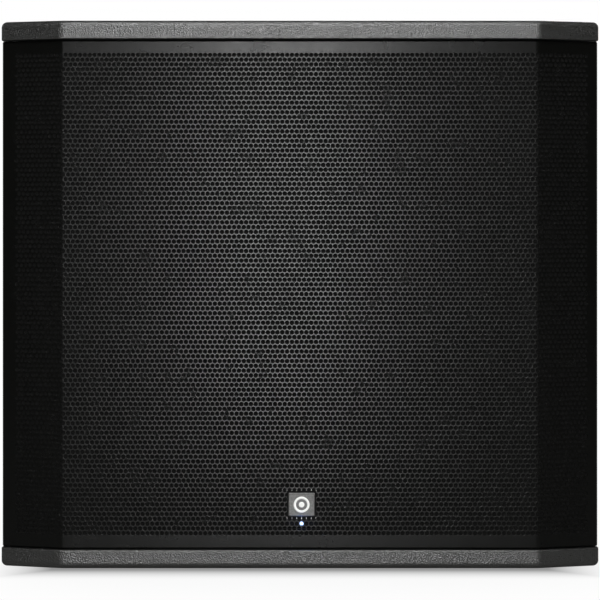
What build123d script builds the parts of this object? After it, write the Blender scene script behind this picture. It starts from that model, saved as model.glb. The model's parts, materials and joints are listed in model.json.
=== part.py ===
"""Powered 18-inch subwoofer cabinet: plywood box, folded steel grille, driver and rear amplifier.

Millimetres. X runs right, Y runs from the front to the back, Z runs up. The origin is on the floor
under the middle of the cabinet. The front leans back at both sides in two facets, and the top and
bottom panels follow them.
"""

import os
from math import atan2, cos, pi, radians, sin, tan

from build123d import *

os.makedirs("parts", exist_ok=True)

# ---------------------------------------------------------------- driving dimensions
width = 640
body_height = 584
depth = 700
foot_height = 8
cap_thickness = 20  # top and bottom panels, coat included
wall_thickness = 18  # side and rear panels
facet_width = 65.6  # how far each side facet of the front runs across
facet_depth = 22  # and how far it falls back

edge_radius = 6.5
bend_radius = 18
grille_inset = 5
sheet = 1.5  # steel of the grille
baffle_setback = 65
baffle_thickness = 24
driver_radius = 230
hole_radius = 212
bolt_circle = 220
port_leg = 128  # legs of each triangular corner port
board_thickness = 15
port_length = 450
rear_recess = 30  # from the rear edges of the box to the rear panel

# ---------------------------------------------------------------- derived positions
half_width = width / 2
inner_half = half_width - wall_thickness
front_y = -depth / 2
rear_y = depth / 2
base_z = foot_height
top_z = base_z + body_height
floor_z = base_z + cap_thickness
roof_z = top_z - cap_thickness
mid_z = (floor_z + roof_z) / 2
half_inner_height = (roof_z - floor_z) / 2
facet_angle = atan2(facet_depth, facet_width)
bend_x = half_width - facet_width
baffle_front = front_y + baffle_setback
baffle_back = baffle_front + baffle_thickness
rear_face = rear_y - rear_recess  # outside of the rear panel
rear_inside = rear_face - wall_thickness
driver_axis = Axis((0, 0, mid_z), (0, 1, 0))


def front_line(inset, half):
    """Plan points of the front, left to right, moved back by inset and cut off at x = +-half."""
    bend = bend_x - inset * tan(facet_angle / 2)
    y_middle = front_y + inset
    y_side = y_middle + (half - bend) * tan(facet_angle)
    return [(-half, y_side), (-bend, y_middle), (bend, y_middle), (half, y_side)]


def face_plane(y):
    """Upright plane at y, seen from the front: local x is X and local y is Z. It faces -Y."""
    return Plane.XZ.offset(-y)


def radial_plane(angle):
    """Plane through the driver's axis, turned by angle in degrees: local x is radius, local y is Y."""
    a = radians(angle)
    return Plane(origin=(0, 0, mid_z), x_dir=(cos(a), 0, sin(a)), z_dir=(-sin(a), 0, cos(a)))


def around_driver(count, radius, first=0.0):
    """Places on a circle about the driver's axis, in the plane of the front, as (x, z)."""
    angles = [first + 2 * pi * i / count for i in range(count)]
    return [(radius * cos(a), mid_z + radius * sin(a)) for a in angles]


def rod(radius, start, end, mode=Mode.ADD):
    """Cylinder from one point to another, for the builder that is open."""
    run = Vector(*end) - Vector(*start)
    with Locations(Plane(origin=start, z_dir=run).location):
        Cylinder(radius, run.length, align=(Align.CENTER, Align.CENTER, Align.MIN), mode=mode)


def block(low, high, mode=Mode.ADD):
    """Box between two corners, for the builder that is open."""
    size = [b - a for a, b in zip(low, high)]
    with Locations(tuple((a + b) / 2 for a, b in zip(low, high))):
        Box(*size, mode=mode)


def save(builder, name):
    builder.part.label = name
    export_step(builder.part, f"parts/{name}.step")


# ---------------------------------------------------------------- places shared by several parts
feet_places = [(x, y) for x in (-245, 245) for y in (-255, 275)]
pole_place = (0, -20)
pole_flange = 90
pole_flange_thickness = 3
pole_screw_pitch = 72
handle_y, handle_z = -20, 300
handle_flange = (216, 136)
handle_opening = (190, 110)
handle_screw_pitch = (202, 100)
handle_flange_thickness = 3
grille_flange_back = front_y + 50
grille_screw_y = front_y + 43
grille_screw_z = [floor_z + 50, floor_z + 200, roof_z - 200, roof_z - 50]
grille_half = half_width - 0.4  # outside of the grille's side flange
screw_radius = 2
pilot_radius = 2.1
badge_x = 1.7
bracket_screw_places = [(badge_x + x, floor_z + 14) for x in (-31, 31)]
led_lead_hole = (12, floor_z + 20)


def handle_screw_places():
    return [
        (handle_y + sy * handle_screw_pitch[0] / 2, handle_z + sz * handle_screw_pitch[1] / 2)
        for sy in (-1, 1)
        for sz in (-1, 1)
    ]


# ================================================================ plywood box
inner_edge_radius = 1.5
corner_radius = 8
with BuildPart() as cap_blank:
    with BuildSketch(Plane.XY.offset(roof_z)):
        Polygon(*front_line(0, half_width), (half_width, rear_y), (-half_width, rear_y), align=None)
    extrude(amount=cap_thickness)
    bends = cap_blank.edges().filter_by(Axis.Z).filter_by_position(Axis.Y, front_y - 1, front_y + 1)
    fillet(bends, radius=bend_radius)
    fillet(cap_blank.edges().filter_by(Axis.Z).sort_by(Axis.Y)[-2:], radius=corner_radius)
    outer_edges = cap_blank.faces().sort_by(Axis.Z)[-1].edges()
    fillet(outer_edges, radius=edge_radius)
    inner_front = cap_blank.faces().sort_by(Axis.Z)[0].edges()
    inner_front = inner_front.filter_by_position(Axis.Y, front_y - 1, front_y + facet_depth)
    fillet(inner_front, radius=inner_edge_radius)

with BuildPart() as top_panel:
    add(cap_blank.part)
    with Locations((*pole_place, top_z - pole_flange_thickness / 2)):
        Box(pole_flange + 1, pole_flange + 1, pole_flange_thickness, mode=Mode.SUBTRACT)
    rod(21.3, (*pole_place, roof_z - 1), (*pole_place, top_z), mode=Mode.SUBTRACT)
    for dx in (-1, 1):
        for dy in (-1, 1):
            x = pole_place[0] + dx * pole_screw_pitch / 2
            y = pole_place[1] + dy * pole_screw_pitch / 2
            rod(pilot_radius, (x, y, top_z - 17), (x, y, top_z), mode=Mode.SUBTRACT)
save(top_panel, "top_panel")

with BuildPart() as bottom_panel:
    add(mirror(cap_blank.part, about=Plane.XY.offset(mid_z), mode=Mode.PRIVATE))
    for x, y in feet_places:
        rod(pilot_radius, (x, y, base_z), (x, y, base_z + 15), mode=Mode.SUBTRACT)
save(bottom_panel, "bottom_panel")

flange_rebate = 2.6
with BuildPart() as right_side_panel:
    panel_front = front_y + 35
    with BuildSketch(Plane.XY.offset(floor_z)):
        Polygon(
            (inner_half, panel_front),
            (half_width - flange_rebate, panel_front),
            (half_width - flange_rebate, grille_flange_back + 1),
            (half_width, grille_flange_back + 1),
            (half_width, rear_y),
            (inner_half, rear_y),
            align=None,
        )
    extrude(amount=roof_z - floor_z)
    outer_rear = right_side_panel.edges().filter_by(Axis.Z).sort_by(lambda e: -e.center().X - e.center().Y)
    fillet(outer_rear[0], radius=corner_radius)
    side_plane = Plane(origin=(half_width, handle_y, handle_z), x_dir=(0, 1, 0), z_dir=(-1, 0, 0))
    with BuildSketch(side_plane):
        RectangleRounded(handle_flange[0] + 1, handle_flange[1] + 1, 12)
    extrude(amount=handle_flange_thickness, mode=Mode.SUBTRACT)
    with BuildSketch(side_plane):
        RectangleRounded(handle_opening[0] + 2, handle_opening[1] + 2, 20)
    extrude(amount=wall_thickness + 1, mode=Mode.SUBTRACT)
    for y, z in handle_screw_places():
        rod(pilot_radius, (inner_half + 2, y, z), (half_width, y, z), mode=Mode.SUBTRACT)
    for z in grille_screw_z:
        rod(pilot_radius, (inner_half + 2, grille_screw_y, z), (half_width, grille_screw_y, z), mode=Mode.SUBTRACT)
save(right_side_panel, "right_side_panel")

with BuildPart() as left_side_panel:
    add(mirror(right_side_panel.part, about=Plane.YZ, mode=Mode.PRIVATE))
save(left_side_panel, "left_side_panel")


# ---------------------------------------------------------------- amplifier opening and screw places
amp_width, amp_height = 340, 440
amp_opening = (312, 412)
amp_z = mid_z


def amp_screw_places():
    """Screws round the amplifier plate, as (x, z)."""
    x_edge, z_edge = amp_width / 2 - 7, amp_height / 2 - 7
    sides = [(sx * x_edge, amp_z + dz) for sx in (-1, 1) for dz in (-z_edge, -z_edge / 3, z_edge / 3, z_edge)]
    ends = [(0, amp_z + sz * z_edge) for sz in (-1, 1)]
    return sides + ends


with BuildPart() as rear_panel:
    block((-inner_half, rear_inside, floor_z), (inner_half, rear_face, roof_z))
    with BuildSketch(face_plane(rear_face)):
        with Locations((0, amp_z)):
            RectangleRounded(*amp_opening, 8)
    extrude(amount=wall_thickness, mode=Mode.SUBTRACT)
    for x, z in amp_screw_places():
        rod(pilot_radius, (x, rear_inside + 2, z), (x, rear_face, z), mode=Mode.SUBTRACT)
save(rear_panel, "rear_panel")


# ---------------------------------------------------------------- baffle, corner ports, brace
def cut_corner_outline(leg):
    """Rectangle of the inside of the box with its corners cut off at 45 degrees, centred on the driver."""
    w, h = inner_half, half_inner_height
    return [(w, h - leg), (w - leg, h), (leg - w, h), (-w, h - leg), (-w, leg - h), (leg - w, -h), (w - leg, -h), (w, leg - h)]


board_leg = port_leg + board_thickness * 2**0.5
tee_barrel_radius = 4.1
bolt_angle = pi / 8
with BuildPart() as baffle:
    with BuildSketch(face_plane(baffle_back)):
        with Locations((0, mid_z)):
            Polygon(*cut_corner_outline(board_leg), align=None)
            Circle(hole_radius, mode=Mode.SUBTRACT)
        with Locations(*around_driver(8, bolt_circle, bolt_angle)):
            Circle(tee_barrel_radius, mode=Mode.SUBTRACT)
        with Locations(*bracket_screw_places):
            Circle(pilot_radius, mode=Mode.SUBTRACT)
        with Locations(led_lead_hole):
            Circle(2.5, mode=Mode.SUBTRACT)
    extrude(amount=baffle_thickness)
save(baffle, "baffle")

corners = {
    "upper_right": (1, 1),
    "upper_left": (-1, 1),
    "lower_right": (1, -1),
    "lower_left": (-1, -1),
}
for corner, (sx, sz) in corners.items():
    outline = [
        (inner_half, half_inner_height - port_leg),
        (inner_half - port_leg, half_inner_height),
        (inner_half - board_leg, half_inner_height),
        (inner_half, half_inner_height - board_leg),
    ]
    with BuildPart() as port_board:
        with BuildSketch(face_plane(baffle_front + port_length)):
            Polygon(*[(sx * x, mid_z + sz * z) for x, z in outline], align=None)
        extrude(amount=port_length)
    save(port_board, f"port_board_{corner}")

brace_y = 84
with BuildPart() as window_brace:
    with BuildSketch(face_plane(brace_y + wall_thickness)):
        with Locations((0, mid_z)):
            Polygon(*cut_corner_outline(board_leg), align=None)
        with Locations(*[(sx * 102, mid_z + sz * 118) for sx, sz in corners.values()]):
            RectangleRounded(150, 170, 30, mode=Mode.SUBTRACT)
    extrude(amount=wall_thickness)
save(window_brace, "window_brace")

# ================================================================ grille and badge
grille_bottom, grille_top = floor_z + 1, roof_z - 1
hole_pitch, row_pitch = 5.137, 5.1  # of the perforation, whose rows are staggered by half a pitch
first_row_z = grille_bottom + 16.4
badge_size = (28, 24.8)
window_size = (6 * hole_pitch, 6 * row_pitch)
window_z = badge_z = first_row_z + 6 * row_pitch
led_z = first_row_z + 2 * row_pitch
return_depth = 8
grille_hole_radius = 2.1
with BuildPart() as grille:
    outside = front_line(grille_inset, grille_half)
    inside = front_line(grille_inset + sheet, grille_half - sheet)
    with BuildSketch(Plane.XY.offset(grille_bottom)):
        Polygon(
            (-grille_half, grille_flange_back),
            *outside,
            (grille_half, grille_flange_back),
            (grille_half - sheet, grille_flange_back),
            *reversed(inside),
            (sheet - grille_half, grille_flange_back),
            align=None,
        )
    extrude(amount=grille_top - grille_bottom)
    upright = grille.edges().filter_by(Axis.Z)
    folds = upright.filter_by_position(Axis.Y, front_y, grille_flange_back - 5)
    fillet([e for e in folds if abs(abs(e.center().X) - grille_half) < 0.1], radius=2)
    fillet([e for e in folds if abs(e.center().Y - front_y - grille_inset) < 0.1], radius=4)
    for z in (grille_bottom, grille_top - sheet):
        with BuildSketch(Plane.XY.offset(z)):
            Polygon(
                *front_line(grille_inset + sheet, inner_half - 2),
                *reversed(front_line(grille_inset + sheet + return_depth, inner_half - 2)),
                align=None,
            )
        extrude(amount=sheet)
    with BuildSketch(face_plane(front_y + grille_inset + sheet)):
        with Locations((badge_x, window_z)):
            Rectangle(*window_size)
        with Locations((badge_x, led_z)):
            Circle(grille_hole_radius)
    extrude(amount=sheet, mode=Mode.SUBTRACT)
    for side in (-1, 1):
        for z in grille_screw_z:
            start = (side * (grille_half + 1), grille_screw_y, z)
            rod(screw_radius + 0.3, start, (side * (grille_half - 4), grille_screw_y, z), mode=Mode.SUBTRACT)
save(grille, "grille")

foam_thickness = 4
foam_front = grille_inset + sheet + 0.3
foam_half = half_width - 4
with BuildPart() as grille_foam:
    with BuildSketch(Plane.XY.offset(grille_bottom + 2.5)):
        Polygon(
            *front_line(foam_front, foam_half),
            *reversed(front_line(foam_front + foam_thickness, foam_half)),
            align=None,
        )
    extrude(amount=grille_top - grille_bottom - 5)
    cut_low = (badge_x - 20, front_y, window_z - 26)
    block(cut_low, (badge_x + 20, baffle_front, window_z + 20), mode=Mode.SUBTRACT)
save(grille_foam, "grille_foam")

with BuildPart() as grille_screws:
    for side in (-1, 1):
        for z in grille_screw_z:
            outer = (side * half_width, grille_screw_y, z)
            seat = (side * grille_half, grille_screw_y, z)
            rod(4.5, outer, seat)
            rod(screw_radius, seat, (side * (inner_half + 3), grille_screw_y, z))
save(grille_screws, "grille_screws")

badge_front = front_y + grille_inset - 1
badge_back = badge_front + 4
bracket_front = front_y + foam_front + foam_thickness + 0.7
with BuildPart() as badge:
    with BuildSketch(face_plane(badge_back)):
        with Locations((badge_x, badge_z)):
            RectangleRounded(*badge_size, 1.2)
    extrude(amount=badge_back - badge_front)
    chamfer(badge.faces().sort_by(Axis.Y)[0].edges(), length=0.8)
    block((badge_x - 6, badge_back, badge_z - 6), (badge_x + 6, bracket_front, badge_z + 6))
save(badge, "badge")

bracket_half = 24
foot_reach = 38
with BuildPart() as badge_bracket:
    bracket_back = bracket_front + sheet
    plate_low = (badge_x - bracket_half, bracket_front, floor_z + 4)
    block(plate_low, (badge_x + bracket_half, bracket_back, window_z + 20))
    for side in (-1, 1):
        inside_x, outside_x = sorted(badge_x + side * x for x in (bracket_half - sheet, bracket_half))
        block((inside_x, bracket_front, floor_z + 4), (outside_x, baffle_front, floor_z + 24))
        foot_start, foot_end = sorted(badge_x + side * x for x in (bracket_half - sheet, foot_reach))
        block((foot_start, baffle_front - sheet, floor_z + 4), (foot_end, baffle_front, floor_z + 24))
    for x, z in bracket_screw_places:
        rod(screw_radius + 0.3, (x, baffle_front - 3, z), (x, baffle_front, z), mode=Mode.SUBTRACT)
    rod(1.7, (badge_x, bracket_front - 1, led_z), (badge_x, bracket_front + 3, led_z), mode=Mode.SUBTRACT)
save(badge_bracket, "badge_bracket")

led_tip = front_y + grille_inset - 0.8
with BuildPart() as front_led:
    rod(2.4, (badge_x, bracket_front - 1, led_z), (badge_x, bracket_front, led_z))
    rod(1.5, (badge_x, led_tip + 1.5, led_z), (badge_x, bracket_front + 4, led_z))
    with Locations((badge_x, led_tip + 1.5, led_z)):
        Sphere(1.5)
save(front_led, "front_led")

# ================================================================ driver
rim_front = baffle_front - 8
skirt_inner, skirt_outer = 201, 210
rim_inner = 207
skirt_back = baffle_front + 23
ledge_front, ledge_back = -176, -160
seat_front, seat_back = -150, -140
coil_radius = 51  # outside of the voice coil former
travel = 10
spoke_count = 8
spoke_thickness = 10


def turned_ring(inner, outer, front, back):
    """Ring about the driver's axis, for the builder that is open."""
    with BuildSketch(radial_plane(0)) as section:
        with Locations(((inner + outer) / 2, (front + back) / 2)):
            Rectangle(outer - inner, back - front)
    revolve(section.sketch, axis=driver_axis)


spoke_foot, spoke_root = (skirt_outer - 0.5, skirt_back - 2), (114, seat_back - 1)
with BuildPart() as driver_basket:
    turned_ring(rim_inner, driver_radius, rim_front, baffle_front)
    turned_ring(skirt_inner, skirt_outer, rim_front + 4, skirt_back)
    turned_ring(96, 112, ledge_front, ledge_back)
    turned_ring(54.5, 112, seat_front, seat_back)
    spoke_planes = [radial_plane(i * 360 / spoke_count) for i in range(spoke_count)]
    with BuildSketch(*spoke_planes):
        Polygon(
            (skirt_inner + 1, skirt_back - 2),
            spoke_foot,
            spoke_root,
            (98, seat_back - 1),
            (98, ledge_back - 2),
            (112, ledge_front + 6),
            align=None,
        )
    extrude(amount=spoke_thickness / 2, both=True)
    for x, z in around_driver(8, bolt_circle, bolt_angle):
        rod(3.3, (x, rim_front, z), (x, baffle_front, z), mode=Mode.SUBTRACT)
save(driver_basket, "driver_basket")

with BuildPart() as magnet_top_plate:
    turned_ring(53.4, 100, seat_back, seat_back + 12)
save(magnet_top_plate, "magnet_top_plate")

magnet_front, magnet_back = seat_back + 12, seat_back + 42
with BuildPart() as ferrite_magnet:
    turned_ring(60, 110, magnet_front, magnet_back)
    chamfer(ferrite_magnet.edges().filter_by(GeomType.CIRCLE).sort_by(SortBy.LENGTH)[-2:], length=2)
save(ferrite_magnet, "ferrite_magnet")

vent_radius = 18
with BuildPart() as pole_back_plate:
    turned_ring(vent_radius, 105, magnet_back, magnet_back + 12)
    turned_ring(vent_radius, 49.3, seat_back, magnet_back)
save(pole_back_plate, "pole_back_plate")

cone_edge = 186
lip_inner = 178
lip_front = rim_front
neck_y = -190
with BuildPart() as cone:
    with BuildSketch(radial_plane(0)) as cone_section:
        with BuildLine():
            ThreePointArc((coil_radius + 0.05, neck_y - 1.5), (114, -243.5), (lip_inner, lip_front))
            Line((lip_inner, lip_front), (cone_edge, lip_front))
            Line((cone_edge, lip_front), (cone_edge, lip_front + 1.2))
            Line((cone_edge, lip_front + 1.2), (lip_inner + 1, lip_front + 1.2))
            ThreePointArc((lip_inner + 1, lip_front + 1.2), (115, -242), (coil_radius + 0.05, neck_y + 0.5))
            Line((coil_radius + 0.05, neck_y + 0.5), (coil_radius + 0.05, neck_y - 1.5))
        make_face()
    revolve(cone_section.sketch, axis=driver_axis)
save(cone, "cone")

cap_curve = 120
cap_rim_y = -209.4
with BuildPart() as dust_cap:
    with Locations((0, cap_rim_y + 96, mid_z)):
        Sphere(cap_curve)
        Sphere(cap_curve - 1.2, mode=Mode.SUBTRACT)
    split(bisect_by=face_plane(cap_rim_y), keep=Keep.TOP)
save(dust_cap, "dust_cap")

with BuildPart() as voice_coil_former:
    turned_ring(coil_radius - 0.8, coil_radius, neck_y - 2, -112)
save(voice_coil_former, "voice_coil_former")

with BuildPart() as voice_coil_winding:
    turned_ring(coil_radius + 0.05, 52.6, -150, -118)
save(voice_coil_winding, "voice_coil_winding")


def rolled_sheet(points, thickness):
    """Revolved thin sheet whose section runs through points (radius, y), each joined by an arc through a crest."""
    front = [(r, y - thickness) for r, y in points]
    with BuildSketch(radial_plane(0)) as section:
        with BuildLine():
            for line in (front, points):
                Line(line[0], line[1])
                for i in range(1, len(line) - 3, 2):
                    ThreePointArc(line[i], line[i + 1], line[i + 2])
                Line(line[-2], line[-1])
            Line(front[0], points[0])
            Line(front[-1], points[-1])
        make_face()
    revolve(section.sketch, axis=driver_axis)


with BuildPart() as surround:
    rolled_sheet(
        [
            (lip_inner + 2, lip_front),
            (187, lip_front),
            (192, lip_front - 3),
            (197, lip_front),
            (202, lip_front - 3),
            (rim_inner, lip_front),
            (213.5, lip_front),
        ],
        1.2,
    )
save(surround, "surround")

roll_width, roll_height = 7, 3
roll_start = coil_radius + 3
rolls = 6
spider_lip = ledge_front
with BuildPart() as spider:
    waves = []
    for i in range(rolls):
        crest = spider_lip + (roll_height if i % 2 else -roll_height)
        waves += [(roll_start + roll_width * (i + 0.5), crest), (roll_start + roll_width * (i + 1), spider_lip)]
    rolled_sheet(
        [(coil_radius + 0.05, spider_lip), (roll_start, spider_lip), *waves, (106, spider_lip)],
        0.8,
    )
save(spider, "spider")

with BuildPart() as driver_gasket:
    turned_ring(rim_inner + 0.5, 213.5, rim_front - 5.2, rim_front - 1.2)
save(driver_gasket, "driver_gasket")

bolt_radius = 2.9
with BuildPart() as driver_fixings:
    for x, z in around_driver(8, bolt_circle, bolt_angle):
        rod(5, (x, rim_front - 6, z), (x, rim_front, z))
        rod(bolt_radius, (x, rim_front, z), (x, baffle_back + 6, z))
        with BuildSketch(face_plane(rim_front - 3)):
            with Locations((x, z)):
                RegularPolygon(2.5, 6)
        extrude(amount=3, mode=Mode.SUBTRACT)
    for x, z in around_driver(8, bolt_circle, bolt_angle):
        with BuildSketch(face_plane(baffle_back + 1.5)):
            with Locations((x, z)):
                Circle(9)
                Circle(bolt_radius + 0.1, mode=Mode.SUBTRACT)
        extrude(amount=1.5)
        with BuildSketch(face_plane(baffle_back)):
            with Locations((x, z)):
                Circle(tee_barrel_radius - 0.1)
                Circle(bolt_radius + 0.1, mode=Mode.SUBTRACT)
        extrude(amount=14)
save(driver_fixings, "driver_fixings")

spoke_run = Vector(*spoke_root) - Vector(*spoke_foot)
terminal_out = Vector(spoke_run.Y, -spoke_run.X, 0).normalized()
terminal_middle = Vector(*spoke_foot) + spoke_run * 0.5
terminal_origin = Vector(terminal_middle.X, terminal_middle.Y, mid_z)
terminal_height = 9
with BuildPart(
    Plane(origin=terminal_origin, x_dir=spoke_run.normalized(), z_dir=terminal_out)
) as driver_terminals:
    Box(30, 34, terminal_height, align=(Align.CENTER, Align.CENTER, Align.MIN))
    with Locations((0, -11, terminal_height), (0, 11, terminal_height)):
        Cylinder(4.5, 10, align=(Align.CENTER, Align.CENTER, Align.MIN))
save(driver_terminals, "driver_terminals")

# ================================================================ amplifier
gasket_thickness = 2
plate_thickness = 4
plate_front = rear_face + gasket_thickness  # inner side of the amplifier plate
plate_back = plate_front + plate_thickness  # outer side, which faces backwards
jack_z = amp_z + 150
combo_places = [(120, jack_z), (78, jack_z)]
output_places = [(36, jack_z), (-6, jack_z)]
knob_places = {"level_knob": (-62, jack_z), "lowpass_knob": (-116, jack_z)}
button_places = {"polarity_button": (-62, jack_z - 52), "led_button": (-116, jack_z - 52)}
status_led_places = [(x, jack_z - 52) for x in (120, 100, 80, 60)]
inlet_place = (100, amp_z - 185)
switch_place = (40, amp_z - 185)
barrel_radius = 11.8
knob_bush_radius = 4.5
button_radius = 3.2

with BuildPart() as amp_gasket:
    with BuildSketch(face_plane(plate_front)):
        with Locations((0, amp_z)):
            RectangleRounded(amp_width, amp_height, 8)
            RectangleRounded(*amp_opening, 8, mode=Mode.SUBTRACT)
        with Locations(*amp_screw_places()):
            Circle(pilot_radius, mode=Mode.SUBTRACT)
    extrude(amount=gasket_thickness)
save(amp_gasket, "amp_gasket")

inlet_cut = (28, 20)
switch_cut = (28, 22)
with BuildPart() as amp_plate:
    with BuildSketch(face_plane(plate_back)):
        with Locations((0, amp_z)):
            RectangleRounded(amp_width, amp_height, 8)
        with Locations(*combo_places, *output_places):
            Circle(barrel_radius + 0.2, mode=Mode.SUBTRACT)
        with Locations(*knob_places.values()):
            Circle(knob_bush_radius + 0.1, mode=Mode.SUBTRACT)
        with Locations(*button_places.values()):
            Circle(button_radius + 0.35, mode=Mode.SUBTRACT)
        with Locations(*status_led_places):
            Circle(1.7, mode=Mode.SUBTRACT)
        with Locations(inlet_place):
            Rectangle(*inlet_cut, mode=Mode.SUBTRACT)
        with Locations(switch_place):
            Rectangle(*switch_cut, mode=Mode.SUBTRACT)
        with Locations(*amp_screw_places()):
            Circle(pilot_radius + 0.2, mode=Mode.SUBTRACT)
    extrude(amount=plate_thickness)
    chamfer(amp_plate.faces().sort_by(Axis.Y)[-1].outer_wire().edges(), length=0.8)
save(amp_plate, "amp_plate")

with BuildPart() as amp_screws:
    for x, z in amp_screw_places():
        rod(4.5, (x, plate_back, z), (x, plate_back + 2.5, z))
        rod(screw_radius, (x, rear_inside + 4, z), (x, plate_back, z))
        with BuildSketch(face_plane(plate_back + 2.5)):
            with Locations((x, z)):
                Rectangle(5, 1)
                Rectangle(1, 5)
        extrude(amount=1.2, mode=Mode.SUBTRACT)
save(amp_screws, "amp_screws")

cover_depth = 106
cover_half = (150, 200)
cover_front = plate_front - cover_depth
speaker_exit = (60, mid_z + 47)
led_exit = (-60, mid_z - 150)
with BuildPart() as amp_cover:
    low, high = (-cover_half[0], amp_z - cover_half[1]), (cover_half[0], amp_z + cover_half[1])
    block((low[0], cover_front, low[1]), (high[0], plate_front, high[1]))
    block(
        (low[0] + sheet, cover_front + sheet, low[1] + sheet),
        (high[0] - sheet, plate_front, high[1] - sheet),
        mode=Mode.SUBTRACT,
    )
save(amp_cover, "amp_cover")

sink_width, sink_height = 280, 165
sink_z = amp_z - 65
fin_count = 24
with BuildPart() as heat_sink:
    with BuildSketch(Plane.XY.offset(sink_z - sink_height / 2)):
        with Locations((0, plate_back + 2.5)):
            Rectangle(sink_width, 5)
        with GridLocations((sink_width - 2.2) / (fin_count - 1), 1, fin_count, 1):
            with Locations((0, plate_back + 13)):
                Rectangle(2.2, 18)
    extrude(amount=sink_height)
save(heat_sink, "heat_sink")

board = 1.6
amp_board_y = plate_front - 26
supply_board_y = plate_front - 72
post_places = [(sx * 128, sink_z + sz * 70) for sx in (-1, 1) for sz in (-1, 1)]
with BuildPart() as amp_board:
    block((-135, amp_board_y, sink_z - 78), (135, amp_board_y + board, sink_z + 78))
    for x in range(-100, 101, 40):
        block((x - 8, plate_front - 5, sink_z - 40), (x + 8, plate_front, sink_z - 19))
        block((x - 1.5, amp_board_y + board, sink_z - 20), (x + 1.5, plate_front - 3, sink_z - 19.2))
    with Locations(*[(x, amp_board_y + board + 8, sink_z + 40) for x in (-45, 45)]):
        Cylinder(16, 16, rotation=(90, 0, 0))
        Cylinder(7, 16, rotation=(90, 0, 0), mode=Mode.SUBTRACT)
save(amp_board, "amp_board")

with BuildPart() as power_supply_board:
    block((-135, supply_board_y, sink_z - 78), (135, supply_board_y + board, sink_z + 78))
    for x in (-95, -60, 60, 95):
        rod(14, (x, supply_board_y - 30, sink_z + 42), (x, supply_board_y, sink_z + 42))
    block((60, supply_board_y - 14, sink_z - 55), (110, supply_board_y, sink_z - 15))
save(power_supply_board, "power_supply_board")

with BuildPart() as transformer:
    core_low = (-40, supply_board_y - 28, sink_z - 60)
    core_high = (40, supply_board_y - 4, sink_z + 10)
    block(core_low, core_high)
    rod(24, (0, supply_board_y - 30, sink_z - 25), (0, supply_board_y, sink_z - 25))
save(transformer, "transformer")

with BuildPart() as board_standoffs:
    with BuildSketch(face_plane(plate_front)):
        with Locations(*post_places):
            RegularPolygon(4, 6)
    extrude(amount=plate_front - amp_board_y - board)
    with BuildSketch(face_plane(amp_board_y)):
        with Locations(*post_places):
            RegularPolygon(4, 6)
    extrude(amount=amp_board_y - supply_board_y - board)
save(board_standoffs, "board_standoffs")

input_board_y = plate_front - 30
shaft_radius = 3
stroke = 1.5
button_tail = plate_front - 8
with BuildPart() as input_board:
    block((-140, input_board_y, jack_z - 70), (140, input_board_y + board, jack_z + 26))
    for x, z in knob_places.values():
        block((x - 8, input_board_y + board, z - 8), (x + 8, plate_front, z + 8))
        rod(knob_bush_radius, (x, plate_front - 1, z), (x, plate_back + 2.5, z))
        rod(shaft_radius + 0.08, (x, plate_front - 12, z), (x, plate_back + 2.5, z), mode=Mode.SUBTRACT)
    for x, z in button_places.values():
        block((x - 5, input_board_y + board, z - 5), (x + 5, button_tail - stroke - 0.3, z + 5))
    for x, z in status_led_places:
        rod(1.5, (x, input_board_y + board, z), (x, plate_back + 0.8, z))
save(input_board, "input_board")

knob_foot = plate_back + 3
knob_height = 15
for name, (x, z) in knob_places.items():
    with BuildPart() as knob:
        rod(9.5, (x, knob_foot, z), (x, knob_foot + 3, z))
        rod(7.5, (x, knob_foot + 3, z), (x, knob_foot + knob_height, z))
        chamfer(knob.faces().sort_by(Axis.Y)[-1].edges(), length=1)
        block((x - 0.6, knob_foot + 3, z + 3), (x + 0.6, knob_foot + knob_height, z + 8), mode=Mode.SUBTRACT)
        rod(shaft_radius, (x, plate_front - 11, z), (x, knob_foot, z))
    save(knob, name)

button_proud = 3
for name, (x, z) in button_places.items():
    with BuildPart() as button:
        rod(button_radius, (x, button_tail, z), (x, plate_back + button_proud, z))
        chamfer(button.faces().sort_by(Axis.Y)[-1].edges(), length=0.5)
    save(button, name)

flange_thickness = 2
jack_depth = 22
latch_size = (8, 4)
latch_gap = 1.4
latch_low = 10.2  # from the jack's axis to the underside of the latch
with BuildPart() as combo_jacks:
    for x, z in combo_places:
        with BuildSketch(face_plane(plate_back + flange_thickness)):
            with Locations((x, z)):
                RectangleRounded(26, 31, 2.5)
        extrude(amount=flange_thickness)
        rod(barrel_radius, (x, plate_front - jack_depth, z), (x, plate_back, z))
        rod(8.5, (x, plate_back - 14, z), (x, plate_back + flange_thickness, z), mode=Mode.SUBTRACT)
        rod(3.2, (x, plate_front - 18, z), (x, plate_back, z), mode=Mode.SUBTRACT)
        slot_low = (x - latch_size[0] / 2 - 0.3, plate_back, z + latch_low - latch_gap)
        slot_high = (x + latch_size[0] / 2 + 0.3, plate_back + 3, z + latch_low + latch_size[1] + 0.3)
        block(slot_low, slot_high, mode=Mode.SUBTRACT)
save(combo_jacks, "combo_jacks")

for i, (x, z) in enumerate(combo_places, start=1):
    with BuildPart() as latch:
        low_corner = (x - latch_size[0] / 2, plate_back + 0.2, z + latch_low)
        high_corner = (x + latch_size[0] / 2, plate_back + 4, z + latch_low + latch_size[1])
        block(low_corner, high_corner)
        chamfer(latch.faces().sort_by(Axis.Y)[-1].edges(), length=0.6)
    save(latch, f"combo_latch_{i}")

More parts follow.
